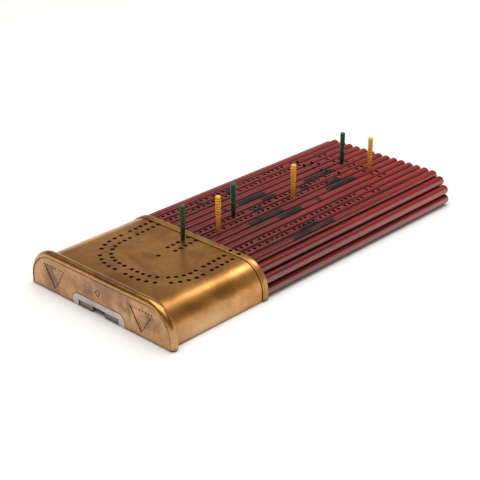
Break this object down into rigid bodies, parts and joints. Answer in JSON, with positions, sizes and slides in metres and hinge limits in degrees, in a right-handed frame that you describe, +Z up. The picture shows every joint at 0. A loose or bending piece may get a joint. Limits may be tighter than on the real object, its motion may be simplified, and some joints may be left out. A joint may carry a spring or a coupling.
{
  "type": "cribbage board",
  "caption": "Cribbage board shaped like a flattened shot shell: brass head with rolled rim, ribbed red rod body, peg drawer and seated pegs.",
  "frame": {"origin": "middle of the underside, on the surface the board stands on", "axes": "+X along the length, from the brass rim to the free ends of the rods; +Y across; +Z up"},
  "size_m": [0.324, 0.1484, 0.0556],
  "materials": {
    "brass_head": "antique satin",
    "brass_plate": "antique, stained and matt",
    "core_wood": "sealed",
    "drawer_steel": "satin",
    "tray_metal": "satin",
    "base_wood": "matt",
    "screw_steel": "plated",
    "core_red": "stained",
    "red_rods": "satin lacquer",
    "green_pegs": "gloss",
    "yellow_pegs": "gloss"
  },
  "bodies": {
    "board": {"head_sleeve": "brass_head", "rim_bead": "brass_head", "end_plate": "brass_plate", "head_collar": "brass_head", "head_core": "core_wood", "base_panel": "base_wood", "base_screws": "screw_steel", "rod_core": "core_red", "rod_01": "red_rods", "rod_02": "red_rods", "rod_03": "red_rods", "rod_04": "red_rods", "rod_05": "red_rods", "rod_06": "red_rods", "rod_07": "red_rods", "rod_08": "red_rods", "rod_09": "red_rods", "rod_10": "red_rods", "rod_11": "red_rods", "rod_12": "red_rods", "rod_13": "red_rods", "rod_14": "red_rods", "rod_15": "red_rods", "rod_16": "red_rods", "rod_17": "red_rods", "rod_18": "red_rods", "rod_19": "red_rods", "rod_20": "red_rods"},
    "drawer": {"drawer_front": "drawer_steel", "drawer_tray": "tray_metal"},
    "green_peg_1": {"peg_green_1": "green_pegs"},
    "green_peg_2": {"peg_green_2": "green_pegs"},
    "green_peg_3": {"peg_green_3": "green_pegs"},
    "yellow_peg_1": {"peg_yellow_1": "yellow_pegs"},
    "yellow_peg_2": {"peg_yellow_2": "yellow_pegs"},
    "yellow_peg_3": {"peg_yellow_3": "yellow_pegs"}
  },
  "joints": [
    {"name": "drawer_slide", "type": "slide", "parent": "board", "child": "drawer", "axis": [-1, 0, 0], "range_m": [0, 0.06]},
    {"name": "green_peg_1_lift", "type": "slide", "parent": "board", "child": "green_peg_1", "axis": [0, 0, 1], "range_m": [0, 0.0066]},
    {"name": "green_peg_2_lift", "type": "slide", "parent": "board", "child": "green_peg_2", "axis": [0, 0, 1], "range_m": [0, 0.0066]},
    {"name": "green_peg_3_lift", "type": "slide", "parent": "board", "child": "green_peg_3", "axis": [0, 0, 1], "range_m": [0, 0.0066]},
    {"name": "yellow_peg_1_lift", "type": "slide", "parent": "board", "child": "yellow_peg_1", "axis": [0, 0, 1], "range_m": [0, 0.0066]},
    {"name": "yellow_peg_2_lift", "type": "slide", "parent": "board", "child": "yellow_peg_2", "axis": [0, 0, 1], "range_m": [0, 0.0066]},
    {"name": "yellow_peg_3_lift", "type": "slide", "parent": "board", "child": "yellow_peg_3", "axis": [0, 0, 1], "range_m": [0, 0.0066]}
  ]
}
